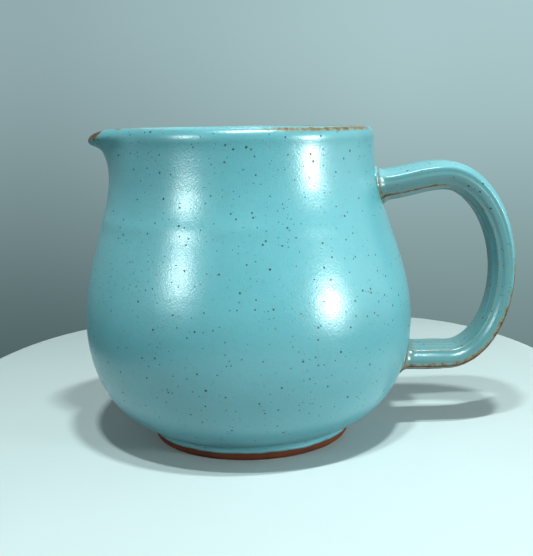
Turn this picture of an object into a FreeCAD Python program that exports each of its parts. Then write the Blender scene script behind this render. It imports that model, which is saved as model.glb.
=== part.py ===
"""A wheel-thrown stoneware pitcher: a glazed pot with a pulled spout, a bare foot ring and a pulled handle.

Origin: the middle of the foot, on the plane the pot stands on. +Z is up, +X points to the handle
and the spout points along -X. Lengths are millimetres.
"""

import FreeCAD, Part
import math
import os

doc = FreeCAD.newDocument("pitcher")
sheet = doc.addObject("Spreadsheet::Sheet", "Sizes")

# name: (value, meaning)
SIZES = {
    # the thrown pot, measured over the bare clay
    "foot_radius": (41.7, "outside of the foot ring"),
    "foot_step": (0.7, "how far the foot's bottom edge is rounded in"),
    "foot_height": (6.4, "height of the crease between foot and belly"),
    "recess_rim": (35.6, "radius of the recess under the foot, at the standing plane"),
    "recess_roof": (34.0, "radius of that recess at its roof"),
    "recess_depth": (2.2, "depth of that recess"),
    "belly_radius": (68.5, "greatest radius, at the belly"),
    "belly_height": (51.0, "height of the greatest radius"),
    "turn_radius": (59.6, "radius where the belly turns into the neck"),
    "turn_height": (90.0, "height of that turn"),
    "neck_radius": (53.5, "radius of the straight neck"),
    "neck_height": (117.0, "height at which the neck is measured"),
    "pot_height": (129.6, "mean height of the lip's crown"),
    "rim_tilt": (0.6, "how much higher the lip stands at the spout, and lower at the handle"),
    "groove_depth": (0.3, "depth of the groove under the bead at the rim"),
    "wall": (4.8, "thickness of the wall at the neck"),
    "base_wall": (7.0, "thickness of the wall low in the belly"),
    "floor_height": (8.4, "height of the floor inside"),
    # the pulled spout
    "lip_throw": (9.0, "how far the lip itself is thrown out at the spout"),
    "lip_reach": (5.0, "height over which the throw fades"),
    "neck_pull": (2.3, "how far the neck below the spout is drawn out"),
    "pull_bottom": (64.0, "height at which that begins"),
    "throw_angle": (21.0, "half-angle of the throw round the pot, in degrees"),
    "pull_angle": (31.0, "half-angle of the drawn-out neck, in degrees"),
    "lip_droop": (2.5, "how far the tip of the spout bends down"),
    "droop_angle": (14.0, "half-angle of that bend, in degrees"),
    "lip_pinch": (0.9, "how far the lip is pinched in on each side of the spout"),
    "pinch_angle": (36.0, "angle of each pinch from the spout, in degrees"),
    "pinch_spread": (9.0, "half-angle of each pinch, in degrees"),
    # the glaze
    "glaze": (0.4, "thickness of the coat of glaze"),
    "glaze_line": (2.8, "height to which the glaze was wiped off the foot"),
    # the handle, a pulled strap; its middle line lies in the plane through the spout
    "root_reach": (55.3, "distance from the pot's axis to the upper root"),
    "root_height": (104.8, "height of the upper root"),
    "top_reach": (81.9, "distance from the pot's axis to the top of the loop"),
    "top_height": (108.5, "height of the top of the loop"),
    "side_reach": (108.4, "distance from the pot's axis to the loop's furthest point"),
    "side_height": (67.9, "height of that point"),
    "bottom_reach": (84.9, "distance from the pot's axis to the bottom of the loop"),
    "bottom_height": (31.1, "height of the bottom of the loop"),
    "foot_reach": (65.4, "distance from the pot's axis to the lower root"),
    "strap_width_root": (24.0, "width of the strap at its upper root"),
    "strap_width_side": (18.5, "width of the strap at its furthest point"),
    "strap_width_foot": (20.5, "width of the strap at its lower root"),
    "strap_depth_root": (11.3, "thickness of the strap at its upper root"),
    "strap_depth_side": (8.6, "thickness of the strap at its furthest point"),
    "strap_depth_foot": (9.9, "thickness of the strap at its lower root"),
    # the luted joints
    "collar_spread": (2.2, "how far a joint stands out round the strap at the wall"),
    "collar_length": (4.6, "how far a joint runs out along the strap"),
    "upper_wall_slope": (-0.26, "how the wall's radius changes with height at the upper root"),
    "lower_wall_slope": (0.42, "how the wall's radius changes with height at the lower root"),
}
for row, (name, (value, meaning)) in enumerate(SIZES.items(), start=1):
    sheet.set(f"A{row}", meaning)
    sheet.set(f"B{row}", str(value))
    sheet.setAlias(f"B{row}", name)
doc.recompute()


def size(name):
    return float(sheet.get(name))


def bell(value, spread):
    """1 at zero, falling smoothly to nothing over a few spreads."""
    return math.exp(-((value / spread) ** 2))


def smooth_step(value):
    """0 up to 0 and 1 from 1 on, with an even S between."""
    value = min(1.0, max(0.0, value))
    return value * value * (3 - 2 * value)


def blend(first, second, share):
    return first + (second - first) * share


def closed_curve(points):
    """A smooth closed curve through the points, which are evenly spaced in its parameter."""
    curve = Part.BSplineCurve()
    marks = [i / len(points) for i in range(len(points) + 1)]
    curve.interpolate(Points=points, PeriodicFlag=True, Parameters=marks)
    return curve


QUARTERS = 4  # a skin is divided into this many faces round it
BAND = 4  # and along it, into faces this many stations long


def loft(rings):
    """A solid with one smooth surface through closed curves of points, and flat ends on the first and last."""
    curves = [closed_curve(points) for points in rings]
    rows = [curve.getPoles() for curve in curves]
    marks = [0.0]
    for before, after in zip(rows, rows[1:]):
        steps = [first.distanceToPoint(second) for first, second in zip(before, after)]
        marks.append(marks[-1] + sum(steps) / len(steps))
    poles = []
    for column in zip(*rows):
        along = Part.BSplineCurve()
        along.interpolate(Points=list(column), Parameters=marks)
        poles.append(along.getPoles())
    surface = Part.BSplineSurface()
    surface.buildFromPolesMultsKnots(
        poles,
        curves[0].getMultiplicities(),
        along.getMultiplicities(),
        curves[0].getKnots(),
        along.getKnots(),
        True,
        False,
        3,
        3,
    )
    around = [i / QUARTERS for i in range(QUARTERS + 1)]
    along_marks = marks[:-1:BAND] + [marks[-1]]
    faces = []
    for start, end in zip(around, around[1:]):
        for low, high in zip(along_marks, along_marks[1:]):
            patch = surface.copy()
            patch.segment(start, end, low, high)
            faces.append(patch.toShape())
    for mark in (marks[0], marks[-1]):
        edges = [surface.vIso(mark).toShape(start, end) for start, end in zip(around, around[1:])]
        faces.append(Part.Face(Part.Wire(edges)))
    shell = Part.Shell(faces)
    shell.sewShape()
    solid = Part.Solid(shell)
    if solid.Volume < 0:
        solid.reverse()
    return solid


def feature(name, shape):
    item = doc.addObject("Part::Feature", name)
    item.Shape = shape
    return item


def cut(name, base, tool):
    item = doc.addObject("Part::Cut", name)
    item.Base = base
    item.Tool = tool
    return item


def common(name, base, tool):
    item = doc.addObject("Part::Common", name)
    item.Base = base
    item.Tool = tool
    return item


def fuse(name, shapes):
    item = doc.addObject("Part::MultiFuse", name)
    item.Shapes = shapes
    return item


# --- the thrown wall ---------------------------------------------------------------------------


def foot_profile():
    """(radius, height) up the outside of the clay, from the standing edge to the belly's underside."""
    foot, crease = size("foot_radius"), size("foot_height")
    rise = size("belly_height") - crease
    swell = size("belly_radius") - foot
    return [
        (foot - size("foot_step"), 0.0),
        (foot, 0.9),
        (foot + 0.1, size("glaze_line")),
        (foot + 0.5, crease - 0.3),
        (foot + 0.13 * swell, crease + 0.024 * rise),
        (foot + 0.32 * swell, crease + 0.082 * rise),
    ]


def wall_stations():
    """(outside radius, height, thickness) of the clay from low in the belly to the groove at the rim."""
    foot, crease = size("foot_radius"), size("foot_height")
    belly, belly_height = size("belly_radius"), size("belly_height")
    turn, turn_height = size("turn_radius"), size("turn_height")
    neck, neck_height = size("neck_radius"), size("neck_height")
    top, wall, base_wall = size("pot_height"), size("wall"), size("base_wall")
    rise = belly_height - crease
    swell = belly - foot
    return [
        (foot + 0.69 * swell, crease + 0.302 * rise, base_wall),
        (foot + 0.895 * swell, crease + 0.56 * rise, blend(wall, base_wall, 0.45)),
        (belly, belly_height, blend(wall, base_wall, 0.2)),
        (blend(belly, turn, 0.31), blend(belly_height, turn_height, 0.5), blend(wall, base_wall, 0.1)),
        (turn, turn_height, wall),
        (blend(turn, neck, 0.73), blend(turn_height, neck_height, 0.55), wall),
        (neck, neck_height, wall),
        (neck - 0.25, top - 8.8, wall),
        (neck - size("groove_depth"), top - 5.2, wall - 0.5),
    ]


def lip_profile():
    """(radius, height) over the bead and the rounded lip, from outside to inside."""
    bead, top, wall = size("neck_radius") - 0.25, size("pot_height"), size("wall")
    return [
        (bead, top - 2.8),
        (bead - 0.17 * wall, top - 0.8),
        (bead - 0.46 * wall, top),
        (bead - 0.80 * wall, top - 0.9),
        (bead - 0.95 * wall, top - 3.0),
    ]


def floor_profile():
    """(radius, height) from the turn of the wall to the edge of the flat floor, inside."""
    foot, floor = size("foot_radius"), size("floor_height")
    return [
        (foot + 0.9, floor + 2.9),
        (0.75 * foot, floor + 0.35),
        (0.5 * foot, floor),
    ]


def clay_profile():
    """(radius, height) of the whole wall: up the outside, over the lip and down the inside."""
    outside = [(radius, height) for radius, height, _ in wall_stations()]
    inside = [(radius - wall, height) for radius, height, wall in reversed(wall_stations())]
    return foot_profile() + outside + lip_profile() + inside + floor_profile()


def offset(profile, distance):
    """The profile moved away from the clay, square to itself."""
    moved = []
    last = len(profile) - 1
    for i, (radius, height) in enumerate(profile):
        before, after = profile[max(i - 1, 0)], profile[min(i + 1, last)]
        run, rise = after[0] - before[0], after[1] - before[1]
        length = math.hypot(run, rise)
        moved.append((radius + distance * rise / length, height - distance * run / length))
    return moved


def pulled(radius, height, angle):
    """The point at this angle round the pot, once the lip has been pulled into a spout at 180 degrees."""
    off_spout = abs(math.degrees(angle) - 180)
    bead_height = size("pot_height") - 2.6
    near_lip = math.exp(min(0.0, height - bead_height) / size("lip_reach"))
    throw = size("lip_throw") * near_lip * bell(off_spout, size("throw_angle"))
    drawn = smooth_step((height - size("pull_bottom")) / (bead_height - size("pull_bottom")))
    pull = size("neck_pull") * drawn * bell(off_spout, size("pull_angle"))
    pinch_offset = off_spout - size("pinch_angle")
    pinch = size("lip_pinch") * near_lip * bell(pinch_offset, size("pinch_spread"))
    droop = size("lip_droop") * near_lip * bell(off_spout, size("droop_angle"))
    tilt = size("rim_tilt") * near_lip * math.cos(angle)
    reach = radius + throw + pull - pinch
    return FreeCAD.Vector(reach * math.cos(angle), reach * math.sin(angle), height - droop - tilt)


POINTS_ROUND = 36


def ring(radius, height, flat_height=None):
    """The wall's closed curve at one station, or the same curve laid flat at another height."""
    points = [pulled(radius, height, 2 * math.pi * i / POINTS_ROUND) for i in range(POINTS_ROUND)]
    if flat_height is not None:
        points = [FreeCAD.Vector(point.x, point.y, flat_height) for point in points]
    return points


def thrown_form(profile):
    return loft([ring(radius, height) for radius, height in profile])


def filled_form():
    """Everything inside the outside of the clay, up to above the handle."""
    profile = foot_profile() + [(radius, height) for radius, height, _ in wall_stations()[:-2]]
    radius, height = profile[-1]
    return loft([ring(*station) for station in profile] + [ring(radius, height, height + 6)])


def mid_wall_form():
    """Everything inside the middle of the wall, and on straight up from the lip's crown."""
    foot, floor, crease = size("foot_radius"), size("floor_height"), size("foot_height")
    middle = [(radius - wall / 2, height) for radius, height, wall in wall_stations()]
    crown_radius, crown_height = lip_profile()[2]
    profile = [(0.88 * foot, 0.6 * floor), (foot + 2.3, crease + 3.3)] + middle
    above = ring(crown_radius, crown_height, crown_height + 10)
    return loft([ring(*station) for station in profile] + [ring(crown_radius, crown_height), above])


clay_form = feature("clay_form", thrown_form(clay_profile()))
glaze_start = 2  # the first of the clay's stations that the glaze covers
glazed_form = feature("glazed_form", thrown_form(offset(clay_profile()[glaze_start:], size("glaze"))))
clay_fill = feature("clay_fill", filled_form())
mid_wall = feature("mid_wall", mid_wall_form())

foot_recess = doc.addObject("Part::Cone", "foot_recess")
foot_recess.setExpression("Radius1", "Sizes.recess_rim")
foot_recess.setExpression("Radius2", "Sizes.recess_roof")
foot_recess.setExpression("Height", "Sizes.recess_depth")

clay_body = cut("clay_body", clay_form, foot_recess)


# --- the handle: a pulled strap ----------------------------------------------------------------

# round the strap: (share of the half-width, share of the half-thickness), starting outermost
STRAP_HALF = [(0.0, 0.9), (0.45, 1.0), (0.96, 0.48), (0.94, -0.1), (0.76, -0.66), (0.4, -0.98)]
STRAP_OUTLINE = STRAP_HALF + [(0.0, -1.0)] + [(-across, out) for across, out in reversed(STRAP_HALF[1:])]


def strap_middle(travel):
    """(x, z) on the strap's middle line: travel is 0 at the upper root, 1 at the top, 2 at the side,
    3 at the bottom and 4 at the lower root. The loop is made of two quarters of an ellipse."""
    top_x, top_z = size("top_reach"), size("top_height")
    side_x, side_z = size("side_reach"), size("side_height")
    low_x, low_z = size("bottom_reach"), size("bottom_height")
    if travel <= 1:
        return (
            blend(size("root_reach"), top_x, travel),
            blend(size("root_height"), top_z, smooth_step(travel)),
        )
    if travel <= 2:
        turn = (2 - travel) * math.pi / 2
        return (top_x + (side_x - top_x) * math.cos(turn), side_z + (top_z - side_z) * math.sin(turn))
    if travel <= 3:
        turn = (travel - 2) * math.pi / 2
        return (low_x + (side_x - low_x) * math.cos(turn), side_z - (side_z - low_z) * math.sin(turn))
    return blend(low_x, size("foot_reach"), travel - 3), low_z


def strap_frame(travel):
    """The middle point, and the direction out from the loop, square to the strap."""
    step = 0.01
    x, z = strap_middle(travel)
    x_before, z_before = strap_middle(travel - step)
    x_after, z_after = strap_middle(travel + step)
    run, rise = x_after - x_before, z_after - z_before
    length = math.hypot(run, rise)
    return x, z, -rise / length, run / length


def strap_size(travel):
    """Half the strap's width and half its thickness."""
    if travel <= 2:
        share = smooth_step((travel - 0.9) / 1.1)
        width = blend(size("strap_width_root"), size("strap_width_side"), share)
        depth = blend(size("strap_depth_root"), size("strap_depth_side"), share)
    else:
        share = smooth_step((travel - 2) / 1.3)
        width = blend(size("strap_width_side"), size("strap_width_foot"), share)
        depth = blend(size("strap_depth_side"), size("strap_depth_foot"), share)
    return width / 2, depth / 2


def strap_points(travel, growth):
    """The strap's outline at one place, grown outwards by this much."""
    x, z, out_x, out_z = strap_frame(travel)
    half_width, half_depth = strap_size(travel)
    points = []
    for across, out in STRAP_OUTLINE:
        y = across * (half_width + growth)
        lift = out * (half_depth + growth)
        points.append(FreeCAD.Vector(x + out_x * lift, y, z + out_z * lift))
    return points


STRAP_STATIONS = [-0.13, 0.25, 0.6, 1.0, 1.3, 1.55, 1.78, 2.0, 2.22, 2.45, 2.7, 3.0, 3.5, 4.25]


def strap_form(growth):
    return loft([strap_points(travel, growth) for travel in STRAP_STATIONS])


# --- the luted joints --------------------------------------------------------------------------


def collar_ring(travel, wall_reach, slope, distance, growth, growing):
    """A closed curve round the strap, at this distance from the pot's wall."""
    root_height = strap_middle(travel)[1]
    points = []
    for point in strap_points(travel, growth + growing):
        wall_x = math.sqrt(wall_reach**2 - point.y**2) + slope * (point.z - root_height)
        points.append(FreeCAD.Vector(wall_x + distance, point.y, point.z))
    return points


def collar_end(travel, x, growth):
    """The same outline laid flat, square to the X axis."""
    return [FreeCAD.Vector(x, point.y, point.z) for point in strap_points(travel, growth)]


def collar_form(travel, wall_reach, slope, growing):
    """A flare from the strap onto the wall. Its outer end dives under the strap's surface."""
    spread, length = size("collar_spread"), size("collar_length")
    rings = [collar_end(travel, wall_reach - 7.0, spread + growing)]
    for share, growth in ((0.0, spread), (0.25, 0.55 * spread), (0.55, 0.22 * spread), (1.0, 0.0)):
        rings.append(collar_ring(travel, wall_reach, slope, share * length, growth, growing))
    rings.append(collar_end(travel, wall_reach + 2 * length, growing - 2.0))
    return loft(rings)


def upper_collar(growing):
    return collar_form(0.0, size("root_reach"), size("upper_wall_slope"), growing)


def lower_collar(growing):
    return collar_form(4.0, size("foot_reach"), size("lower_wall_slope"), growing)


strap = feature("strap", strap_form(0.0))
handle = cut("handle", strap, clay_fill)

pot_and_strap = fuse("pot_and_strap", [clay_fill, strap])
upper_handle_joint = cut("upper_handle_joint", feature("upper_flare", upper_collar(0.0)), pot_and_strap)
lower_handle_joint = cut("lower_handle_joint", feature("lower_flare", lower_collar(0.0)), pot_and_strap)


# --- the glaze ---------------------------------------------------------------------------------

coat = cut("coat", glazed_form, clay_form)
liner_glaze = common("liner_glaze", coat, mid_wall)
outer_coat = cut("outer_coat", coat, mid_wall)

coated_parts = [
    feature("coated_strap", strap_form(size("glaze"))),
    feature("coated_upper_flare", upper_collar(size("glaze"))),
    feature("coated_lower_flare", lower_collar(size("glaze"))),
]
coated_handle = fuse("coated_handle", coated_parts)
outer_glaze = cut("outer_glaze", outer_coat, coated_handle)

bare_handle = fuse("bare_handle", [pot_and_strap, upper_handle_joint.Base, lower_handle_joint.Base])
handle_glaze = cut("handle_glaze", coated_handle, bare_handle)


# --- checks and files --------------------------------------------------------------------------

PIECES = [
    clay_body,
    handle,
    upper_handle_joint,
    lower_handle_joint,
    outer_glaze,
    liner_glaze,
    handle_glaze,
]
doc.recompute()
for item in doc.Objects:
    if "Invalid" in item.State or "Error" in item.State:
        raise RuntimeError(f"{item.Name} did not build: {item.State}")

os.makedirs("parts", exist_ok=True)
for piece in PIECES:
    piece.Placement = FreeCAD.Placement()
    shape = piece.Shape
    if shape.isNull() or not shape.isValid() or len(shape.Solids) != 1:
        raise RuntimeError(f"{piece.Label}: {len(shape.Solids)} solids, valid {shape.isValid()}")
    shape.exportStep(f"parts/{piece.Label}.step")
    print(f"{piece.Label}: {shape.Volume:.0f} mm3, {len(shape.Faces)} faces")
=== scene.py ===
"""The looks of a thrown stoneware pitcher: satin turquoise glaze with iron specks over red-brown clay.

Shapes are worked out in millimetres from the pot's driving sizes and put into the scene in metres. The
spout points along -X (180 degrees round the pot) and the handle along +X (0 degrees).
"""

import bpy
import math
import numpy as np
from mathutils import Matrix, Vector


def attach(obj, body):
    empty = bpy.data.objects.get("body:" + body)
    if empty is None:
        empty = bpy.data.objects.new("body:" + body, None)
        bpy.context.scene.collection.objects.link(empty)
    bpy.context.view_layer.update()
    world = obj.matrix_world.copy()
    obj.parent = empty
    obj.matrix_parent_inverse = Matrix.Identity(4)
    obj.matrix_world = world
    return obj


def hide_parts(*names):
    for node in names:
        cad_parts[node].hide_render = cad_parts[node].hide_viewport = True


MM = 0.001

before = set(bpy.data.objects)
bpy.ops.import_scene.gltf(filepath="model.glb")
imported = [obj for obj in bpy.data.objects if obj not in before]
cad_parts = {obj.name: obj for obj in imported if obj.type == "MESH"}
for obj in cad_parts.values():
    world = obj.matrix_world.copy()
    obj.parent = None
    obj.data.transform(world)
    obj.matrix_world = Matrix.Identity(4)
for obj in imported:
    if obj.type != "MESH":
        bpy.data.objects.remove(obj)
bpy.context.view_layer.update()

# --- driving sizes, in millimetres --------------------------------------------------------------

FOOT_RADIUS = 41.7
FOOT_STEP = 0.7
FOOT_HEIGHT = 6.4
RECESS_RIM = 35.6
RECESS_ROOF = 34.0
RECESS_DEPTH = 2.2
BELLY_RADIUS, BELLY_HEIGHT = 68.5, 51.0
TURN_RADIUS, TURN_HEIGHT = 59.6, 90.0
NECK_RADIUS, NECK_HEIGHT = 53.5, 117.0
POT_HEIGHT = 129.6
RIM_TILT = 0.6
GROOVE_DEPTH = 0.25
WALL, BASE_WALL = 4.8, 7.0
FLOOR_HEIGHT = 8.4
LIP_THROW, LIP_REACH, THROW_ANGLE = 9.0, 5.0, 21.0
NECK_PULL, PULL_BOTTOM, PULL_ANGLE = 2.3, 64.0, 31.0
LIP_DROOP, DROOP_ANGLE = 2.5, 14.0
LIP_PINCH, PINCH_ANGLE, PINCH_SPREAD = 0.9, 36.0, 9.0
GLAZE = 0.4
GLAZE_LINE = 2.8
GLAZE_BACK = 0.9  # how deep the hidden back of a coat lies in the clay

ROOT_REACH, ROOT_HEIGHT = 55.3, 104.8
TOP_REACH, TOP_HEIGHT = 81.9, 108.5
SIDE_REACH, SIDE_HEIGHT = 108.4, 67.9
BOTTOM_REACH, BOTTOM_HEIGHT = 84.9, 31.1
HANDLE_FOOT_REACH = 65.4
STRAP_WIDTHS = (24.0, 18.5, 20.5)  # at the upper root, the side and the lower root
STRAP_DEPTHS = (11.3, 8.6, 9.9)
STRAP_START, STRAP_END = -0.14, 4.25  # travel at which the strap begins and ends, inside the wall
COLLAR_SPREAD, COLLAR_LENGTH = 2.2, 4.6

# --- small helpers ------------------------------------------------------------------------------


def bell(value, spread):
    """1 at zero, falling smoothly to nothing over a few spreads."""
    return np.exp(-((value / spread) ** 2))


def smooth_step(value):
    """0 up to zero and 1 from one, with an even S between."""
    value = np.clip(value, 0.0, 1.0)
    return value * value * (3 - 2 * value)


def blend(first, second, share):
    """From first, at share 0, to second, at share 1."""
    return first + (second - first) * share


def ripple(angle, waves, seed):
    """A wavering line round the pot, about -1 to 1: waves is a list of how many times each part repeats."""
    rng = np.random.default_rng(seed)
    total = sum(np.sin(count * angle + rng.uniform(0, 2 * math.pi)) for count in waves)
    return total / len(waves)


def make_mesh(name, points, faces, attributes=None):
    """A smooth-shaded mesh object from points in millimetres, with one value per point for each attribute."""
    mesh = bpy.data.meshes.new(name)
    mesh.from_pydata((np.asarray(points) * MM).tolist(), [], faces)
    for label, values in (attributes or {}).items():
        layer = mesh.attributes.new(label, "FLOAT", "POINT")
        layer.data.foreach_set("value", np.asarray(values, dtype=np.float32).ravel())
    mesh.shade_smooth()
    mesh.update()
    item = bpy.data.objects.new(name, mesh)
    bpy.context.scene.collection.objects.link(item)
    return item


def grid_faces(rows, columns, closed_rows=False):
    """Quads over rows of points, each a closed round. closed_rows joins the last row to the first."""
    faces = []
    last = rows if closed_rows else rows - 1
    for row in range(last):
        here, there = row * columns, ((row + 1) % rows) * columns
        for column in range(columns):
            beside = (column + 1) % columns
            faces.append((here + column, here + beside, there + beside, there + column))
    return faces


def fan(middle, start, columns, flipped=False):
    """Triangles from one middle point to the row of points that begins at start."""
    faces = []
    for column in range(columns):
        here, beside = start + column, start + (column + 1) % columns
        faces.append((middle, beside, here) if flipped else (middle, here, beside))
    return faces


def level_ring(radius, height, turns):
    """A round of points at one height: turns is the angle of each, in radians."""
    return np.stack([radius * np.cos(turns), radius * np.sin(turns), np.full(len(turns), height)], axis=1)


class Skin:
    """A smooth surface through rings of points. along is the distance over it from the first ring."""

    def __init__(self, rings):
        self.rings = np.asarray(rings, dtype=float)
        steps = np.linalg.norm(np.diff(self.rings, axis=0), axis=2).mean(axis=1)
        self.marks = np.concatenate([[0.0], np.cumsum(steps)])
        self.bends = self._bends()

    def _bends(self):
        """The second derivative at each ring of a natural cubic spline through them all."""
        gap = np.diff(self.marks)
        count = len(self.marks)
        matrix = np.eye(count)
        right = np.zeros_like(self.rings)
        for i in range(1, count - 1):
            matrix[i, i - 1 : i + 2] = gap[i - 1], 2 * (gap[i - 1] + gap[i]), gap[i]
            after = (self.rings[i + 1] - self.rings[i]) / gap[i]
            before = (self.rings[i] - self.rings[i - 1]) / gap[i - 1]
            right[i] = 6 * (after - before)
        flat = np.linalg.solve(matrix, right.reshape(count, -1))
        return flat.reshape(self.rings.shape)

    def at(self, along):
        """Points at distances given as an array of rows by columns round the skin."""
        columns = np.arange(self.rings.shape[1])[None, :]
        left = np.clip(np.searchsorted(self.marks, along, side="right") - 1, 0, len(self.marks) - 2)
        gap = (self.marks[left + 1] - self.marks[left])[..., None]
        ahead = (self.marks[left + 1] - along)[..., None]
        behind = (along - self.marks[left])[..., None]
        low, high = self.rings[left, columns], self.rings[left + 1, columns]
        low_bend, high_bend = self.bends[left, columns], self.bends[left + 1, columns]
        curve = low_bend * ahead**3 / (6 * gap) + high_bend * behind**3 / (6 * gap)
        line = (low / gap - low_bend * gap / 6) * ahead + (high / gap - high_bend * gap / 6) * behind
        return curve + line

    def with_normals(self, along):
        """Points, and unit normals that point out of the clay."""
        step = 0.02  # millimetres to each side
        points = self.at(along)
        forward = self.at(along + step) - self.at(along - step)
        sideways = np.roll(points, -1, axis=1) - np.roll(points, 1, axis=1)
        normals = np.cross(sideways, forward)
        return points, normals / np.linalg.norm(normals, axis=2, keepdims=True)


# --- the thrown wall ----------------------------------------------------------------------------

COLUMNS = 320
ANGLES = np.linspace(0, 2 * math.pi, COLUMNS, endpoint=False)


def foot_profile():
    """(radius, height) up the outside of the foot and round its crease."""
    rise = BELLY_HEIGHT - FOOT_HEIGHT
    swell = BELLY_RADIUS - FOOT_RADIUS
    return [
        (FOOT_RADIUS - FOOT_STEP, 0.0),
        (FOOT_RADIUS, 0.9),
        (FOOT_RADIUS + 0.1, GLAZE_LINE),
        (FOOT_RADIUS + 0.5, FOOT_HEIGHT - 0.3),
        (FOOT_RADIUS + 0.13 * swell, FOOT_HEIGHT + 0.024 * rise),
        (FOOT_RADIUS + 0.32 * swell, FOOT_HEIGHT + 0.082 * rise),
    ]


def wall_stations():
    """(outside radius, height, thickness) of the clay from low in the belly to the groove at the rim."""
    rise = BELLY_HEIGHT - FOOT_HEIGHT
    swell = BELLY_RADIUS - FOOT_RADIUS
    shoulder = (
        blend(BELLY_RADIUS, TURN_RADIUS, 0.31),
        blend(BELLY_HEIGHT, TURN_HEIGHT, 0.5),
        blend(WALL, BASE_WALL, 0.1),
    )
    return [
        (FOOT_RADIUS + 0.69 * swell, FOOT_HEIGHT + 0.302 * rise, BASE_WALL),
        (FOOT_RADIUS + 0.895 * swell, FOOT_HEIGHT + 0.56 * rise, blend(WALL, BASE_WALL, 0.45)),
        (BELLY_RADIUS, BELLY_HEIGHT, blend(WALL, BASE_WALL, 0.2)),
        shoulder,
        (TURN_RADIUS, TURN_HEIGHT, WALL),
        (blend(TURN_RADIUS, NECK_RADIUS, 0.73), blend(TURN_HEIGHT, NECK_HEIGHT, 0.55), WALL),
        (NECK_RADIUS, NECK_HEIGHT, WALL),
        (NECK_RADIUS - 0.25, POT_HEIGHT - 8.8, WALL),
        (NECK_RADIUS - GROOVE_DEPTH, POT_HEIGHT - 5.2, WALL - 0.5),
    ]


def lip_profile():
    """(radius, height) over the lip, from its outside to its inside."""
    bead = NECK_RADIUS - 0.25
    return [
        (bead, POT_HEIGHT - 2.8),
        (bead - 0.17 * WALL, POT_HEIGHT - 0.8),
        (bead - 0.46 * WALL, POT_HEIGHT),
        (bead - 0.80 * WALL, POT_HEIGHT - 0.9),
        (bead - 0.95 * WALL, POT_HEIGHT - 3.0),
    ]


def floor_profile():
    """(radius, height) over the floor inside, inwards."""
    return [
        (FOOT_RADIUS + 0.9, FLOOR_HEIGHT + 2.9),
        (0.75 * FOOT_RADIUS, FLOOR_HEIGHT + 0.35),
        (0.5 * FOOT_RADIUS, FLOOR_HEIGHT),
        (0.25 * FOOT_RADIUS, FLOOR_HEIGHT),
        (0.5, FLOOR_HEIGHT),
    ]


def pulled_ring(radius, height):
    """One ring of the clay, once the lip has been pulled into a spout at 180 degrees."""
    off_spout = np.abs(np.degrees(ANGLES) - 180)
    bead_height = POT_HEIGHT - 2.6
    near_lip = math.exp(min(0.0, height - bead_height) / LIP_REACH)
    throw = LIP_THROW * near_lip * bell(off_spout, THROW_ANGLE)
    drawn = smooth_step((height - PULL_BOTTOM) / (bead_height - PULL_BOTTOM))
    pull = NECK_PULL * drawn * bell(off_spout, PULL_ANGLE)
    pinch = LIP_PINCH * near_lip * bell(off_spout - PINCH_ANGLE, PINCH_SPREAD)
    droop = LIP_DROOP * near_lip * bell(off_spout, DROOP_ANGLE)
    tilt = RIM_TILT * near_lip * np.cos(ANGLES)
    reach = radius + throw + pull - pinch
    return np.stack([reach * np.cos(ANGLES), reach * np.sin(ANGLES), height - droop - tilt], axis=1)


LINE_STATION = 2  # the glaze line among the stations of the foot
OUTSIDE = foot_profile() + [(radius, height) for radius, height, _ in wall_stations()]
INSIDE = [(radius - wall, height) for radius, height, wall in reversed(wall_stations())]
PROFILE = OUTSIDE + lip_profile() + INSIDE + floor_profile()
CROWN = len(OUTSIDE) + 2  # the lip's crown among all the stations
clay_skin = Skin([pulled_ring(radius, height) for radius, height in PROFILE])
LINE_MARK = clay_skin.marks[LINE_STATION]
CROWN_MARK = clay_skin.marks[CROWN]
LAST_MARK = clay_skin.marks[-1]


def thrown_wobble(points):
    """How far the potter's hands left the wall in or out of true, in millimetres."""
    x, y, z = points[..., 0], points[..., 1], points[..., 2]
    angle = np.arctan2(y, x)
    spiral = np.sin(2 * math.pi * z / 6.1 + angle) * np.sin(z / 9 + 0.5 * np.sin(angle))
    slow = np.sin(2 * angle + z / 23 + 0.7) + 0.7 * np.sin(3 * angle - z / 31 + 2.1)
    shoulder_ring = bell(z - 93.5, 3.0) * (1 + 0.3 * np.sin(2 * angle + 0.4))
    fade = smooth_step((z - 8) / 10)
    return fade * (0.008 * spiral + 0.08 * slow + 0.20 * shoulder_ring)


def spread_marks(start, stop, count, tight):
    """Marks from start to stop, packed closer near each (mark, spread, how much closer) in tight."""
    fine = np.linspace(start, stop, 4000)
    density = np.ones_like(fine)
    for mark, spread, extra in tight:
        density += extra * bell(fine - mark, spread)
    travelled = np.concatenate([[0.0], np.cumsum((density[1:] + density[:-1]) / 2)])
    return np.interp(np.linspace(0, travelled[-1], count), travelled, fine)


def back_depth(shares):
    """How deep a coat's hidden back lies in the clay, from one edge (share 0) to the other (share 1)."""
    return (GLAZE_BACK * np.sin(math.pi * shares) ** 0.5)[:, None, None]


def rim_wear(points, along):
    """How thin the glaze lies over the lip's crown, the spout's edge and its two shoulders."""
    angle = np.degrees(np.arctan2(points[..., 1], points[..., 0])) % 360
    crown = bell(along - CROWN_MARK + 0.2, 1.0)
    outer_crown = bell(along - CROWN_MARK + 1.1, 1.5)
    spout_edge = 1.55 * bell(along - CROWN_MARK + 1.0, 2.6)
    off_spout = np.abs(angle - 180)
    spout = smooth_step((19 - off_spout) / 6)
    near_arc = smooth_step((angle - 272) / 14) * smooth_step((349 - angle) / 12)
    far_arc = smooth_step((angle - 6) / 10) * smooth_step((84 - angle) / 8)
    shoulders = bell(off_spout - 26, 4.5)
    near_handle = bell((angle - 174) % 360 - 180, 5)
    faint = 0.30 + 0.15 * np.sin(np.radians(angle) * 5 + 1)
    plain = np.maximum.reduce([0.60 * far_arc, 0.9 * shoulders, 0.8 * near_handle, faint])
    return np.maximum.reduce([crown * plain, 0.84 * outer_crown * near_arc, spout_edge * spout])


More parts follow.
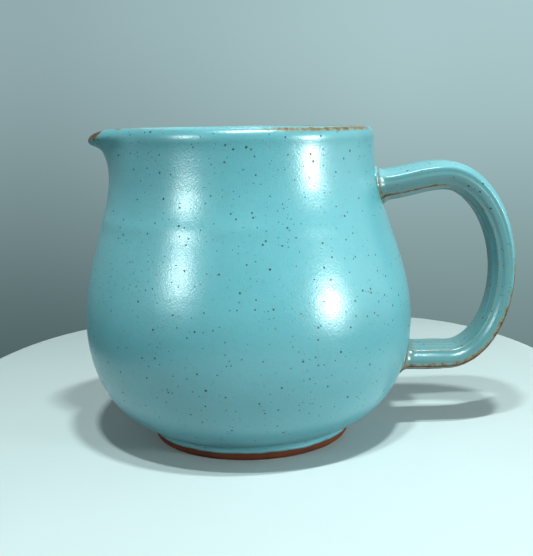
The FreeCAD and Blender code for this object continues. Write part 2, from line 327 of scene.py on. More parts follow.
def outer_glaze_piece():
    """The outside coat, from its rolled lower edge over the foot's crease up to the lip's crown."""
    rows, back_rows = 236, 40
    near_line = [(LINE_MARK, 1.5, 3.0), (LINE_MARK + 5, 4.0, 1.0)]
    near_crown = [(CROWN_MARK - 5, 4.0, 1.5), (CROWN_MARK, 2.5, 2.0)]
    shares = spread_marks(LINE_MARK, CROWN_MARK, rows, near_line + near_crown)
    shares = (shares - LINE_MARK) / (CROWN_MARK - LINE_MARK)
    start = LINE_MARK + 0.28 * ripple(ANGLES, (2, 3, 5, 9, 14), 5) + 0.1 * ripple(ANGLES, (23, 31, 41), 8)
    along = start[None, :] + (CROWN_MARK - start)[None, :] * shares[:, None]
    points, normals = clay_skin.with_normals(along)
    from_edge = along - start[None, :]
    roll = np.sqrt(1 - (1 - np.clip(from_edge / 0.5, 0, 1)) ** 2)
    pooled = 1 + 0.35 * bell(from_edge - 0.6, 0.9)
    thickness = GLAZE * roll * pooled
    outside = points + normals * (thickness + thrown_wobble(points))[..., None]
    back_shares = np.linspace(1, 0, back_rows)[1:-1]
    back_along = start[None, :] + (CROWN_MARK - start)[None, :] * back_shares[:, None]
    back_points, back_normals = clay_skin.with_normals(back_along)
    inside = back_points - back_normals * back_depth(back_shares)
    everything = np.concatenate([outside, inside]).reshape(-1, 3)
    wear = rim_wear(points, along)
    wear = np.concatenate([wear, np.zeros(inside.shape[:2])])
    foot_edge = np.concatenate([bell(from_edge, 0.55), np.zeros(inside.shape[:2])])
    faces = grid_faces(rows + back_rows - 2, COLUMNS, closed_rows=True)
    return make_mesh("turquoise_outside", everything, faces, {"thin": wear, "edge": foot_edge})


def liner_glaze_piece():
    """The inside coat, from the lip's crown down over the floor."""
    rows, back_rows = 200, 30
    tight = [(CROWN_MARK, 2.5, 3.0), (CROWN_MARK + 5, 4.0, 1.0)]
    marks = spread_marks(CROWN_MARK, LAST_MARK, rows, tight)
    along = np.repeat(marks[:, None], COLUMNS, axis=1)
    points, normals = clay_skin.with_normals(along)
    radius = np.hypot(points[..., 0], points[..., 1])
    angle = np.arctan2(points[..., 1], points[..., 0])
    floor_swirl = 0.25 * np.sin(radius / 1.9 + angle)
    floor_swirl = floor_swirl * smooth_step((26 - radius) / 20) * smooth_step(radius / 3)
    finger_rings = 0.12 * np.sin(2 * math.pi * points[..., 2] / 6.5 + angle) * smooth_step((radius - 45) / 4)
    finger_rings = finger_rings * smooth_step((POT_HEIGHT - 6 - points[..., 2]) / 6)
    level = points[..., 2] < FLOOR_HEIGHT + 1.0
    thickness = GLAZE + np.where(level, floor_swirl, finger_rings)
    lining = points + normals * thickness[..., None]
    back_marks = np.linspace(LAST_MARK, CROWN_MARK, back_rows)[1:-1]
    back_along = np.repeat(back_marks[:, None], COLUMNS, axis=1)
    back_points, back_normals = clay_skin.with_normals(back_along)
    shares = (LAST_MARK - back_marks) / (LAST_MARK - CROWN_MARK)
    inside = back_points - back_normals * back_depth(shares)
    pole = [[0.0, 0.0, float(lining[-1, :, 2].mean())], [0.0, 0.0, FLOOR_HEIGHT - GLAZE_BACK]]
    everything = np.concatenate([lining.reshape(-1, 3), inside.reshape(-1, 3), pole])
    faces = grid_faces(rows, COLUMNS)
    hidden_first = rows * COLUMNS
    faces += [tuple(hidden_first + corner for corner in face) for face in grid_faces(back_rows - 2, COLUMNS)]
    top, bottom = len(everything) - 2, len(everything) - 1
    faces += fan(top, (rows - 1) * COLUMNS, COLUMNS)
    faces += fan(bottom, hidden_first, COLUMNS, flipped=True)
    crown_last = (rows + back_rows - 3) * COLUMNS
    for column in range(COLUMNS):
        beside = (column + 1) % COLUMNS
        faces.append((crown_last + column, crown_last + beside, beside, column))
    wear = np.concatenate([rim_wear(points, along).ravel(), np.zeros(inside.shape[0] * COLUMNS + 2)])
    return make_mesh("turquoise_lining", everything, faces, {"thin": wear, "edge": np.zeros(len(everything))})


def clay_piece():
    """The fired clay: only the foot ring and the recess under it are bare."""
    inward = [
        (0.5, RECESS_DEPTH + 0.05),
        (8.0, RECESS_DEPTH + 0.05),
        (16.0, RECESS_DEPTH),
        (24.0, RECESS_DEPTH),
        (RECESS_ROOF - 1.2, RECESS_DEPTH),
        (RECESS_ROOF - 0.1, RECESS_DEPTH - 0.25),
        (RECESS_RIM - 0.35, 0.3),
        (RECESS_RIM + 0.1, 0.02),
        (RECESS_RIM + 0.8, 0.0),
        (FOOT_RADIUS - 1.8, 0.0),
    ]
    under = Skin([level_ring(radius, height, ANGLES) for radius, height in inward])
    under_rows, side_rows = 90, 150
    recess_edge = under.marks[6]
    under_marks = spread_marks(0, under.marks[-1], under_rows, [(recess_edge, 2.5, 3.0)])
    under_along = np.repeat(under_marks[:, None], COLUMNS, axis=1)
    under_points = under.at(under_along)
    radius = np.hypot(under_points[..., 0], under_points[..., 1])
    angle = np.arctan2(under_points[..., 1], under_points[..., 0])
    tooling = 0.10 * np.abs(np.sin(radius / 1.15 + angle / 2))
    under_points[..., 2] += tooling * smooth_step((RECESS_ROOF - 1.5 - radius) / 2)
    side_marks = spread_marks(0, LAST_MARK, side_rows, [(1.5, 2.5, 6.0)])
    side_along = np.repeat(side_marks[:, None], COLUMNS, axis=1)
    side_points, side_normals = clay_skin.with_normals(side_along)
    turned = 0.04 * np.sin(2 * math.pi * side_points[..., 2] / 0.9) * (side_points[..., 2] < FOOT_HEIGHT)
    under_glaze = 0.15
    shrink = np.where(side_marks > LINE_MARK + 1.5, -under_glaze, 0.0)[:, None] + turned
    side_points = side_points + side_normals * shrink[..., None]
    pole = [[0.0, 0.0, RECESS_DEPTH + 0.05], [0.0, 0.0, FLOOR_HEIGHT - under_glaze]]
    everything = np.concatenate([under_points.reshape(-1, 3), side_points.reshape(-1, 3), pole])
    rows = under_rows + side_rows
    faces = grid_faces(rows, COLUMNS)
    faces += fan(len(everything) - 1, (rows - 1) * COLUMNS, COLUMNS)
    faces += fan(len(everything) - 2, 0, COLUMNS, flipped=True)
    return make_mesh("fired_clay_body", everything, faces)


# --- the pulled handle --------------------------------------------------------------------------

# corners of the strap's section as shares of its half-width and half-depth, from the middle of its back
STRAP_HALF = [(0.0, 0.9), (0.45, 1.02), (0.94, 0.62), (0.97, 0.0), (0.77, -0.64), (0.40, -1.0)]
STRAP_OUTLINE = STRAP_HALF + [(0.0, -1.0)] + [(-across, out) for across, out in reversed(STRAP_HALF[1:])]
ROUND_STRAP = 144


def strap_outline():
    """The strap's section, facets between softened corners, and each point's place among those corners."""
    corners = np.array(STRAP_OUTLINE)
    count = len(corners)
    place = np.linspace(0, count, ROUND_STRAP, endpoint=False)
    left = place.astype(int)
    line = blend(corners[left], corners[(left + 1) % count], (place - left)[:, None])
    for _ in range(5):
        line = (np.roll(line, 1, axis=0) + 2 * line + np.roll(line, -1, axis=0)) / 4
    return line, place


def strap_middle(travel):
    """(x, z) on the strap's middle line: 0 upper root, 1 top, 2 side, 3 bottom, 4 lower root."""
    turn_top = (2 - travel) * math.pi / 2
    turn_low = (travel - 2) * math.pi / 2
    x = np.select(
        [travel <= 1, travel <= 2, travel <= 3],
        [
            blend(ROOT_REACH, TOP_REACH, travel),
            TOP_REACH + (SIDE_REACH - TOP_REACH) * np.cos(turn_top),
            BOTTOM_REACH + (SIDE_REACH - BOTTOM_REACH) * np.cos(turn_low),
        ],
        blend(BOTTOM_REACH, HANDLE_FOOT_REACH, travel - 3),
    )
    z = np.select(
        [travel <= 1, travel <= 2, travel <= 3],
        [
            blend(ROOT_HEIGHT, TOP_HEIGHT, smooth_step(travel)),
            SIDE_HEIGHT + (TOP_HEIGHT - SIDE_HEIGHT) * np.sin(turn_top),
            SIDE_HEIGHT - (SIDE_HEIGHT - BOTTOM_HEIGHT) * np.sin(turn_low),
        ],
        np.full_like(travel, BOTTOM_HEIGHT),
    )
    return x, z


def strap_size(travel, sizes):
    """Half the strap's width or depth at this travel."""
    upper = blend(sizes[0], sizes[1], smooth_step((travel - 0.9) / 1.1))
    lower = blend(sizes[1], sizes[2], smooth_step((travel - 2) / 1.3))
    return np.where(travel <= 2, upper, lower) / 2


def ridge(place, centre, spread):
    """A ridge along the strap on both its sides: centre counts corners from the back's middle."""
    count = len(STRAP_OUTLINE)
    return np.maximum(bell(place - centre, spread), bell(place - (count - centre), spread))


def pot_reach(y, z):
    """How far the glazed pot reaches towards the handle at this y and height."""
    rows = 400
    along = np.repeat(np.linspace(0, CROWN_MARK, rows)[:, None], COLUMNS, axis=1)
    side = clay_skin.at(along)[:, 0]
    radius = np.interp(z, side[:, 2], side[:, 0]) + GLAZE
    return np.sqrt(np.maximum(radius**2 - y**2, 0))


def strap_points(travel, growth):
    """Points on the strap, a row for each travel, grown outwards by this many millimetres."""
    fine = 0.01
    x, z = strap_middle(travel)
    x_before, z_before = strap_middle(travel - fine)
    x_after, z_after = strap_middle(travel + fine)
    run, rise = x_after - x_before, z_after - z_before
    length = np.hypot(run, rise)
    out_x, out_z = (-rise / length)[:, None], (run / length)[:, None]
    outline = strap_outline()[0]
    across = outline[None, :, 0] * (strap_size(travel, STRAP_WIDTHS)[:, None] + growth)
    lift = outline[None, :, 1] * (strap_size(travel, STRAP_DEPTHS)[:, None] + growth)
    return np.stack([x[:, None] + out_x * lift, across, z[:, None] + out_z * lift], axis=2)


def end_in_wall(points, depth):
    """Draw the ends of the strap back so that they stop this deep in the pot's wall."""
    wall = pot_reach(points[..., 1], points[..., 2])
    clearance = points[..., 0] - wall
    drawn_back = -depth + 0.05 * (clearance + depth)
    kept = np.where(clearance < -depth, drawn_back, clearance)
    return np.stack([wall + kept, points[..., 1], points[..., 2]], axis=2)


def closed_tube(name, points, attributes):
    """A mesh from rows of points that close round on themselves, with a fan over each end."""
    rows, columns = points.shape[:2]
    everything = np.concatenate([points.reshape(-1, 3), [points[0].mean(axis=0), points[-1].mean(axis=0)]])
    faces = grid_faces(rows, columns)
    faces += fan(len(everything) - 2, 0, columns, flipped=True)
    faces += fan(len(everything) - 1, (rows - 1) * columns, columns)
    padded = {label: np.concatenate([values.ravel(), [0, 0]]) for label, values in attributes.items()}
    return make_mesh(name, everything, faces, padded)


def wall_clearance(travel):
    """How far each point of the strap stands off the pot's wall."""
    bare = strap_points(travel, GLAZE)
    return bare[..., 0] - pot_reach(bare[..., 1], bare[..., 2])


def strap_relief(travel, place):
    """The ridges and fine grooves that the pulling hand leaves along the strap, and its slow unevenness."""
    pulls = 0.05 * np.sin(3 * place + 1.7 * travel) + 0.10 * np.sin(1.3 * travel * math.pi + 0.5)
    grooves = 0.045 * np.sin(11 * place + 0.9 * np.sin(2.1 * travel))
    back = 0.16 * ridge(place, 1.0, 0.22)
    shoulder = 0.26 * ridge(place, 2.0, 0.13)
    inner = 0.22 * ridge(place, 4.0, 0.14) + 0.14 * ridge(place, 5.0, 0.2)
    return pulls + grooves + back + shoulder + inner


def strap_wear(travel, place, clearance):
    """Where the handle's glaze has run thin: its edges, most of all low on the outside, and its roots."""
    low = smooth_step((travel - 1.8) / 0.3)
    lower = smooth_step((travel - 2.1) / 0.3)
    top_run = smooth_step((1.2 - travel) / 0.4)
    back = ridge(place, 1.0, 0.36) * blend(0.30, 1.20, low)
    facet = ridge(place, 1.5, 0.80) * 0.60 * low
    shoulder = ridge(place, 2.0, 0.28) * (0.22 + 0.30 * smooth_step((travel - 1.7) / 0.3) + 0.58 * lower)
    side = 0.32 * ridge(place, 2.5, 0.30) + 0.28 * ridge(place, 3.3, 0.24)
    low_side = 0.64 * ridge(place, 2.3, 0.40) * lower
    inner = ridge(place, 4.0, 0.26) * blend(0.50, 0.92, top_run)
    inner_low = ridge(place, 5.0, 0.28) * 0.44
    at_root = np.maximum(0.70 * bell(clearance - 0.6, 0.9), 0.40 * bell(clearance - 3.0, 1.6))
    under_root = 1.05 * bell(clearance - 1.5, 2.4) * ridge(place, 2.0, 0.8) * smooth_step((travel - 3) / 0.5)
    everywhere = (back, facet, shoulder, side, low_side, inner, inner_low, at_root, under_root)
    return np.maximum.reduce(np.broadcast_arrays(*everywhere))


def strap_greying(place):
    """The coat is thinner and greyer on the strap's sides and inside than over its back."""
    across = np.minimum(place, len(STRAP_OUTLINE) - place)
    return 0.85 * smooth_step((across - 1.9) / 0.5)


def collar_share(clearance):
    """How fully the strap has flared into its collar: 1 at the wall, 0 at the collar's far end."""
    return np.clip(1 - clearance / COLLAR_LENGTH, 0, 1) ** 2.4


def handle_glaze_piece():
    """The coat on the strap, flaring at both ends over the collars of slip that hold it on."""
    stations = np.linspace(STRAP_START, STRAP_END, 340)
    travel, place = stations[:, None], strap_outline()[1][None, :]
    clearance = wall_clearance(stations)
    in_collar = collar_share(clearance)
    growth = GLAZE + COLLAR_SPREAD * in_collar + strap_relief(travel, place) * (1 - in_collar)
    points = end_in_wall(strap_points(stations, growth), 2.4)
    wear = strap_wear(travel, place, clearance)
    greying = np.broadcast_to(strap_greying(place), wear.shape)
    return closed_tube("turquoise_handle", points, {"thin": wear, "edge": greying})


def clay_strap_piece():
    """The clay strap under the glaze, from wall to wall."""
    stations = np.linspace(STRAP_START, STRAP_END, 150)
    return closed_tube("fired_clay_handle", end_in_wall(strap_points(stations, -0.1), 2.2), {})


def clay_joint_piece(name, start, finish):
    """A flare of slip between the strap and the wall, under the glaze."""
    stations = np.linspace(start, finish, 60)
    growth = (COLLAR_SPREAD + 0.3) * collar_share(wall_clearance(stations)) - 0.5
    return closed_tube(name, end_in_wall(strap_points(stations, growth), 2.0), {})


# --- materials ----------------------------------------------------------------------------------


class Nodes:
    """A short way to write a material's nodes."""

    def __init__(self, name):
        self.material = bpy.data.materials.new(name)
        self.material.use_nodes = True
        self.tree = self.material.node_tree
        self.shader = self.tree.nodes["Principled BSDF"]

    def put(self, socket, value):
        """Link a socket to this one, or set it to a plain value."""
        if isinstance(value, bpy.types.NodeSocket):
            self.tree.links.new(value, socket)
        else:
            socket.default_value = value

    def node(self, kind, settings=None, **inputs):
        """A new node. An input's name has an underscore for each space."""
        made = self.tree.nodes.new(kind)
        for name, value in (settings or {}).items():
            setattr(made, name, value)
        for name, value in inputs.items():
            self.put(made.inputs[name.replace("_", " ")], value)
        return made

    def math(self, operation, first, second, third=0.0):
        """The outcome of one operation. The third value counts only in an operation on three."""
        made = self.node("ShaderNodeMath", {"operation": operation})
        for socket, value in zip(made.inputs, (first, second, third)):
            self.put(socket, value)
        return made.outputs[0]

    def scaled(self, value, factor, added=0.0):
        """value times factor, plus added."""
        return self.math("MULTIPLY_ADD", value, factor, added)

    def place(self, stretch=(1.0, 1.0, 1.0)):
        """Where the point is on the object, in millimetres, each way times its stretch."""
        where = self.node("ShaderNodeTexCoord").outputs["Object"]
        scale = self.node("ShaderNodeVectorMath", {"operation": "MULTIPLY"})
        self.put(scale.inputs[0], where)
        scale.inputs[1].default_value = [1000 * share for share in stretch]
        return scale.outputs[0]

    def noise(self, where, size, detail=2.0, roughness=0.5):
        """Soft random values, mostly 0.3 to 0.7, that change over this many millimetres."""
        made = self.node("ShaderNodeTexNoise", Vector=where, Scale=1 / size, Detail=detail)
        self.put(made.inputs["Roughness"], roughness)
        return made.outputs["Fac"]

    def step(self, value, low, high):
        """0 at low and 1 at high, with an even S between. low may be the greater."""
        made = self.node("ShaderNodeMapRange", {"interpolation_type": "SMOOTHSTEP"})
        self.put(made.inputs["Value"], value)
        self.put(made.inputs["From Min"], low)
        self.put(made.inputs["From Max"], high)
        return made.outputs["Result"]

    def mix(self, share, first, second):
        """A colour from first, at share 0, to second, at share 1."""
        made = self.node("ShaderNodeMix", {"data_type": "RGBA"})
        self.put(made.inputs[0], share)
        self.put(made.inputs[6], first)
        self.put(made.inputs[7], second)
        return made.outputs[2]

    def attribute(self, name):
        """A value that the mesh carries at each of its points."""
        return self.node("ShaderNodeAttribute", {"attribute_name": name}).outputs["Fac"]

    def bump(self, height, distance, normal=None):
        """A normal tilted by a height that stands for this many metres at 1, over another bump's normal."""
        made = self.node("ShaderNodeBump", Height=height, Distance=distance)
        if normal is not None:
            self.put(made.inputs["Normal"], normal)
        return made.outputs["Normal"]


def speck_layer(nodes, where, spacing, radius, share):
    """Round dots in this share of the cells of a jumbled grid: spacing and radius in millimetres."""
    cells = nodes.node("ShaderNodeTexVoronoi", Vector=where, Scale=1 / spacing, Randomness=0.9)
    pick = nodes.node("ShaderNodeSeparateColor", Color=cells.outputs["Color"])
    chosen = nodes.math("LESS_THAN", pick.outputs["Red"], share)
    own_radius = nodes.scaled(pick.outputs["Green"], 0.7, 0.5)
    limit = nodes.math("MULTIPLY", own_radius, radius / spacing)
    outer = nodes.math("MULTIPLY", limit, 1.08)
    inner = nodes.math("MULTIPLY", limit, 0.82)
    dot = nodes.step(cells.outputs["Distance"], outer, inner)
    strength = nodes.scaled(pick.outputs["Blue"], 0.25, 0.75)
    return nodes.math("MULTIPLY", nodes.math("MULTIPLY", dot, chosen), strength)


def colour(red, green, blue):
    """An opaque colour in linear light."""
    return (red, green, blue, 1.0)


TURQUOISE = colour(0.094, 0.296, 0.330)
PALE_TURQUOISE = colour(0.112, 0.322, 0.358)
DEEP_TURQUOISE = colour(0.058, 0.205, 0.238)
GREY_TURQUOISE = colour(0.070, 0.165, 0.172)
IRON = colour(0.012, 0.012, 0.010)
OLIVE_GREY = colour(0.140, 0.165, 0.125)
BURNT_ORANGE = colour(0.160, 0.084, 0.030)
DARK_BROWN = colour(0.046, 0.019, 0.008)
CLAY = colour(0.145, 0.027, 0.006)
DARK_CLAY = colour(0.050, 0.012, 0.006)
SANDY_CLAY = colour(0.250, 0.070, 0.024)


def jittered_place(nodes, where):
    """The same places, each moved by a few tenths of a millimetre, which makes round dots uneven."""
    drift = nodes.node("ShaderNodeTexNoise", Vector=where, Scale=1 / 0.9, Detail=1.0)
    moved = nodes.node("ShaderNodeVectorMath", {"operation": "MULTIPLY_ADD"})
    nodes.put(moved.inputs[0], drift.outputs["Color"])
    moved.inputs[1].default_value = (0.35, 0.35, 0.35)
    nodes.put(moved.inputs[2], where)
    return moved.outputs[0]


def glaze_colour(nodes, where):
    """The turquoise: softly clouded, with painted shade low on the belly and at the neck, greyer where edge
    says.
    """
    cloud = nodes.step(nodes.noise(where, 34.0, 3.0), 0.3, 0.7)
    mottle = nodes.step(nodes.noise(where, 2.2, 3.0, 0.6), 0.3, 0.7)
    height = nodes.node("ShaderNodeSeparateXYZ", Vector=where).outputs["Z"]
    # painted shade: below the belly's widest point, where the wall faces down, the colour is mixed towards
    # deep turquoise
    pooled = nodes.step(height, 70.0, 52.0)
    # painted shade: from the neck up to the rim the colour is mixed towards deep turquoise
    painted_neck_shade = nodes.step(height, 96.0, 120.0)
    edge = nodes.step(nodes.attribute("edge"), 0.25, 0.9)
    tint = nodes.mix(cloud, TURQUOISE, PALE_TURQUOISE)
    tint = nodes.mix(nodes.math("MULTIPLY", mottle, 0.10), tint, DEEP_TURQUOISE)
    tint = nodes.mix(nodes.math("MULTIPLY", pooled, 0.33), tint, DEEP_TURQUOISE)
    tint = nodes.mix(nodes.math("MULTIPLY", painted_neck_shade, 0.25), tint, DEEP_TURQUOISE)
    return nodes.mix(nodes.math("MULTIPLY", edge, 0.72), tint, GREY_TURQUOISE)


def glaze_specks(nodes, where):
    """Iron specks in three sizes, and the faint halo round some of them."""
    large = speck_layer(nodes, where, spacing=3.1, radius=0.43, share=0.72)
    small = speck_layer(nodes, where, spacing=2.0, radius=0.28, share=0.70)
    dust = speck_layer(nodes, where, spacing=1.2, radius=0.16, share=0.42)
    halo = speck_layer(nodes, where, spacing=3.2, radius=0.9, share=0.85)
    specks = nodes.math("MAXIMUM", large, nodes.math("MULTIPLY", small, 0.8))
    return nodes.math("MAXIMUM", specks, nodes.math("MULTIPLY", dust, 0.4)), halo


def glaze_thinness(nodes, where):
    """What the mesh says of where the glaze lies thin, with ragged edges to it."""
    patchy = nodes.math("SUBTRACT", nodes.noise(where, 2.6, 4.0, 0.65), 0.5)
    grain = nodes.math("SUBTRACT", nodes.noise(where, 0.55, 2.0, 0.6), 0.5)
    ragged = nodes.math("ADD", nodes.math("MULTIPLY", patchy, 1.4), nodes.math("MULTIPLY", grain, 0.5))
    ragged = nodes.math("MULTIPLY", ragged, nodes.step(nodes.attribute("thin"), 0.04, 0.25))
    return nodes.math("ADD", nodes.attribute("thin"), ragged)


def glaze_material(name, roughness):
    """Satin turquoise glaze: iron specks, soft mottling, and brown where it lies thin over an edge."""
    nodes = Nodes(name)
    where = nodes.place()
    specks, halo = glaze_specks(nodes, jittered_place(nodes, where))
    base = glaze_colour(nodes, where)
    base = nodes.mix(nodes.math("MULTIPLY", halo, 0.14), base, OLIVE_GREY)
    base = nodes.mix(nodes.math("MULTIPLY", specks, 0.97), base, IRON)

    thin = glaze_thinness(nodes, where)
    greyed = nodes.step(thin, 0.28, 0.58)
    browned = nodes.step(thin, 0.55, 0.80)
    darkened = nodes.step(thin, 0.76, 1.06)
    worn = nodes.mix(nodes.math("MULTIPLY", greyed, 0.75), base, OLIVE_GREY)
    worn = nodes.mix(browned, worn, BURNT_ORANGE)
    worn = nodes.mix(nodes.math("MULTIPLY", darkened, 0.9), worn, DARK_BROWN)
    nodes.put(nodes.shader.inputs["Base Color"], worn)

    satin = nodes.scaled(nodes.noise(where, 3.0, 2.0), 0.08, roughness)
    rough = nodes.scaled(specks, 0.15, satin)
    rough = nodes.math("ADD", rough, nodes.math("MULTIPLY", browned, 0.12))
    dull = nodes.scaled(nodes.math("MAXIMUM", specks, browned), -0.3, 0.5)
    nodes.put(nodes.shader.inputs["Roughness"], rough)
    nodes.put(nodes.shader.inputs["IOR"], 1.75)
    nodes.put(nodes.shader.inputs["Specular IOR Level"], dull)

    normal = nodes.bump(nodes.noise(where, 7.0, 1.0), 0.00007)
    normal = nodes.bump(nodes.noise(where, 0.8, 2.0, 0.55), 0.00006, normal)
    normal = nodes.bump(nodes.math("SUBTRACT", 1.0, specks), 0.00002, normal)
    nodes.put(nodes.shader.inputs["Normal"], normal)
    return nodes.material


def clay_material():
    """Bare fired stoneware, red-brown and gritty, with pale and dark grog."""
    nodes = Nodes("bare_stoneware")
    where = nodes.place()
    tone = nodes.step(nodes.noise(where, 9.0, 3.0), 0.3, 0.7)
    base = nodes.mix(tone, CLAY, nodes.mix(0.5, CLAY, DARK_CLAY))
    grit = speck_layer(nodes, where, spacing=0.9, radius=0.16, share=0.5)
    pits = speck_layer(nodes, where, spacing=1.7, radius=0.22, share=0.45)
    base = nodes.mix(nodes.math("MULTIPLY", grit, 0.6), base, SANDY_CLAY)
    base = nodes.mix(nodes.math("MULTIPLY", pits, 0.8), base, DARK_CLAY)
    nodes.put(nodes.shader.inputs["Base Color"], base)
    nodes.put(nodes.shader.inputs["Roughness"], 0.82)
    nodes.put(nodes.shader.inputs["Specular IOR Level"], 0.25)
    drag = nodes.noise(nodes.place((0.15, 0.15, 1.0)), 0.35, 2.0)
    normal = nodes.bump(nodes.noise(where, 0.5, 3.0, 0.6), 0.00008)
    normal = nodes.bump(drag, 0.00005, normal)
    nodes.put(nodes.shader.inputs["Normal"], normal)
    return nodes.material


def plain_stage_material(name, tint, roughness, grain):
    """A matt surface for the floor, with a faint tooth."""
    nodes = Nodes(name)
    where = nodes.place()
    shade = nodes.scaled(nodes.noise(where, 60.0, 2.0), 0.04, 0.98)
    lit = nodes.node("ShaderNodeMix", {"data_type": "RGBA", "blend_type": "MULTIPLY"})
    nodes.put(lit.inputs[0], 1.0)
    nodes.put(lit.inputs[6], tint)
    grey = nodes.node("ShaderNodeCombineColor", Red=shade, Green=shade, Blue=shade)
    nodes.put(lit.inputs[7], grey.outputs[0])
    nodes.put(nodes.shader.inputs["Base Color"], lit.outputs[2])
    nodes.put(nodes.shader.inputs["Roughness"], roughness)
    nodes.put(nodes.shader.inputs["Normal"], nodes.bump(nodes.noise(where, grain, 2.0), 0.00005))
    return nodes.material


# --- the pieces ---------------------------------------------------------------------------------

pot_coat = glaze_material("turquoise_satin_glaze", 0.26)
handle_coat = glaze_material("turquoise_handle_glaze", 0.25)
bare_clay = clay_material()

outside = outer_glaze_piece()
lining = liner_glaze_piece()
body = clay_piece()
handle_outside = handle_glaze_piece()
strap = clay_strap_piece()
upper_joint = clay_joint_piece("fired_clay_upper_joint", STRAP_START, 0.3)
lower_joint = clay_joint_piece("fired_clay_lower_joint", 3.6, STRAP_END)

for piece, node, slot_name, material in (
    (outside, "outer_glaze", "glaze", pot_coat),
    (lining, "liner_glaze", "liner", pot_coat),
    (body, "clay_body", "clay", bare_clay),
    (handle_outside, "handle_glaze", "glaze", handle_coat),
    (strap, "handle", "clay", bare_clay),
    (upper_joint, "upper_handle_joint", "clay", bare_clay),
    (lower_joint, "lower_handle_joint", "clay", bare_clay),
):
    piece.data.materials.append(material)
    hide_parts(node)
    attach(piece, "root")

# --- floor, light and camera --------------------------------------------------------------------


def stage_floor():
    """A pale table top: between an ellipse and an oblong in plan, with a softly rounded edge."""
    half_width, half_depth = 170.0, 286.0
    squareness = 3.5  # 2 would be an ellipse
    edge, drop, sides = 7.0, 60.0, 240
    middle_x, middle_y = 6.0, -54.0
    turns = np.linspace(0, 2 * math.pi, sides, endpoint=False)
    across = np.sign(np.cos(turns)) * np.abs(np.cos(turns)) ** (2 / squareness)
    ahead = np.sign(np.sin(turns)) * np.abs(np.sin(turns)) ** (2 / squareness)
    rings = []
    for inset, z in ((edge, 0.0), (0.3 * edge, -0.25 * edge), (0.0, -edge), (0.0, -drop)):
        x = middle_x + (half_width - inset) * across
        y = middle_y + (half_depth - inset) * ahead
        rings.append(np.stack([x, y, np.full(sides, z)], axis=1))
    points = np.concatenate(rings)
    faces = [tuple(range(sides))] + [tuple(reversed(face)) for face in grid_faces(len(rings), sides)]
    item = make_mesh("stage_table", points, faces)
    item.data.materials.append(plain_stage_material("pale_table", colour(0.50, 0.52, 0.52), 0.9, 0.8))


def stage_backdrop():
    """A grey surround that glows with painted light, paler upwards and towards the right, that is seen and
    mirrored but lights nothing.
    """
    radius, rows, sides = 3000.0, 24, 48
    tilts = np.linspace(-math.pi / 2, math.pi / 2, rows + 2)[1:-1]
    turns = np.linspace(0, 2 * math.pi, sides, endpoint=False)
    rings = [level_ring(radius * math.cos(tilt), radius * math.sin(tilt), turns) for tilt in tilts]
    points = np.concatenate(rings)
    faces = grid_faces(rows, sides) + [tuple(range(sides)), tuple(range((rows - 1) * sides, rows * sides))]
    item = make_mesh("stage_backdrop", points, faces)
    nodes = Nodes("painted_light_backdrop")
    parts = nodes.node("ShaderNodeSeparateXYZ", Vector=nodes.place())
    # painted light: the glow is brighter upwards and towards the right, and darkest low on the left
    rise = nodes.step(parts.outputs["Z"], -900.0, 560.0)
    across = nodes.step(parts.outputs["X"], -900.0, 600.0)
    soft = nodes.scaled(nodes.noise(nodes.place(), 700.0, 1.0), 0.12, 0.94)
    low = nodes.mix(across, colour(0.070, 0.115, 0.118), colour(0.150, 0.225, 0.230))
    high = nodes.mix(across, colour(0.290, 0.410, 0.425), colour(0.405, 0.580, 0.600))
    shade = nodes.mix(rise, low, high)
    glow = nodes.node("ShaderNodeEmission", Color=shade, Strength=soft)
    ends = nodes.tree.nodes["Material Output"]
    nodes.tree.links.new(glow.outputs["Emission"], ends.inputs["Surface"])
    item.data.materials.append(nodes.material)
    item.visible_diffuse = item.visible_shadow = item.visible_transmission = False


POT_MIDDLE = (10.0, 0.0, 65.0)
LIGHT_TINT = (0.80, 1.0, 1.0)


def soft_light(name, place, width, height, power, lights=True, mirrored=True):
    """A soft box, in millimetres and watts, that faces the pot's middle.

    lights says whether it lights matt colour, and mirrored whether gloss mirrors it.
    """
    lamp = bpy.data.lights.new(name, "AREA")
    lamp.shape = "RECTANGLE"
    lamp.size, lamp.size_y = width * MM, height * MM
    lamp.energy = power
    lamp.color = LIGHT_TINT
    item = bpy.data.objects.new(name, lamp)
    item.location = Vector(place) * MM
    item.rotation_mode = "QUATERNION"
    item.rotation_quaternion = (Vector(POT_MIDDLE) - Vector(place)).to_track_quat("-Z", "Y")
    item.visible_camera = False
    item.visible_diffuse = lights
    item.visible_glossy = mirrored
    bpy.context.scene.collection.objects.link(item)


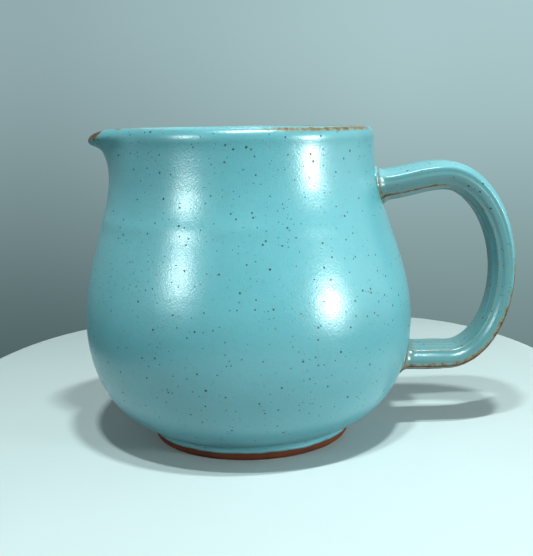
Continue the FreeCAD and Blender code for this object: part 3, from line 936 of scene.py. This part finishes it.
def around(azimuth, elevation, distance):
    """A place round the pot's middle. Azimuth 0 is in front and positive to the right, in degrees."""
    turn, rise = math.radians(azimuth), math.radians(elevation)
    way = (math.sin(turn) * math.cos(rise), -math.cos(turn) * math.cos(rise), math.sin(rise))
    return [middle + distance * part for middle, part in zip(POT_MIDDLE, way)]


def set_world():
    """Very faint grey light from everywhere."""
    world = bpy.data.worlds.new("studio")
    world.use_nodes = True
    shader = world.node_tree.nodes["Background"]
    shader.inputs["Color"].default_value = colour(0.018, 0.024, 0.025)
    shader.inputs["Strength"].default_value = 1.0
    bpy.context.scene.world = world


def set_camera():
    """The eye a little above the rim, as far off as three times the pot's height."""
    eye = (7.92, -380.0, 132.34)
    pitch, roll = math.radians(9.91), math.radians(1.32)
    focal_share = 1.6188  # focal length over the frame's long side
    camera = bpy.data.cameras.new("camera")
    camera.sensor_width = 36.0
    camera.lens = camera.sensor_width * focal_share
    item = bpy.data.objects.new("camera", camera)
    look = Matrix.Rotation(math.radians(90) - pitch, 4, "X") @ Matrix.Rotation(-roll, 4, "Z")
    item.matrix_world = Matrix.Translation(Vector(eye) * MM) @ look
    camera.clip_start = 0.01
    camera.clip_end = 20.0
    bpy.context.scene.collection.objects.link(item)
    bpy.context.scene.camera = item


stage_floor()
stage_backdrop()
soft_light("right_box", around(57, 8, 900), 110, 110, 5.9)
soft_light("left_box", around(-49, 19.5, 900), 110, 110, 1.2)
soft_light("left_shine", around(-49, 19.5, 900), 130, 130, 1.7, lights=False)
soft_light("right_shine", around(98, 14, 1100), 1000, 800, 1.0, lights=False)
soft_light("sky_shine", around(165, 52, 1200), 1500, 900, 4.6, lights=False)
soft_light("top_left_box", (-39, -352, 787), 60, 24, 4.3)
soft_light("top_right_box", (116, -290, 820), 70, 24, 5.5)
soft_light("right_fill", around(96, 6, 1000), 600, 600, 5.0, mirrored=False)
soft_light("left_fill", around(-85, 15, 1000), 600, 600, 1.6, mirrored=False)
set_world()
set_camera()
bpy.context.scene.view_settings.view_transform = "Standard"  # plain colours, without film-like toning

bpy.context.view_layer.update()
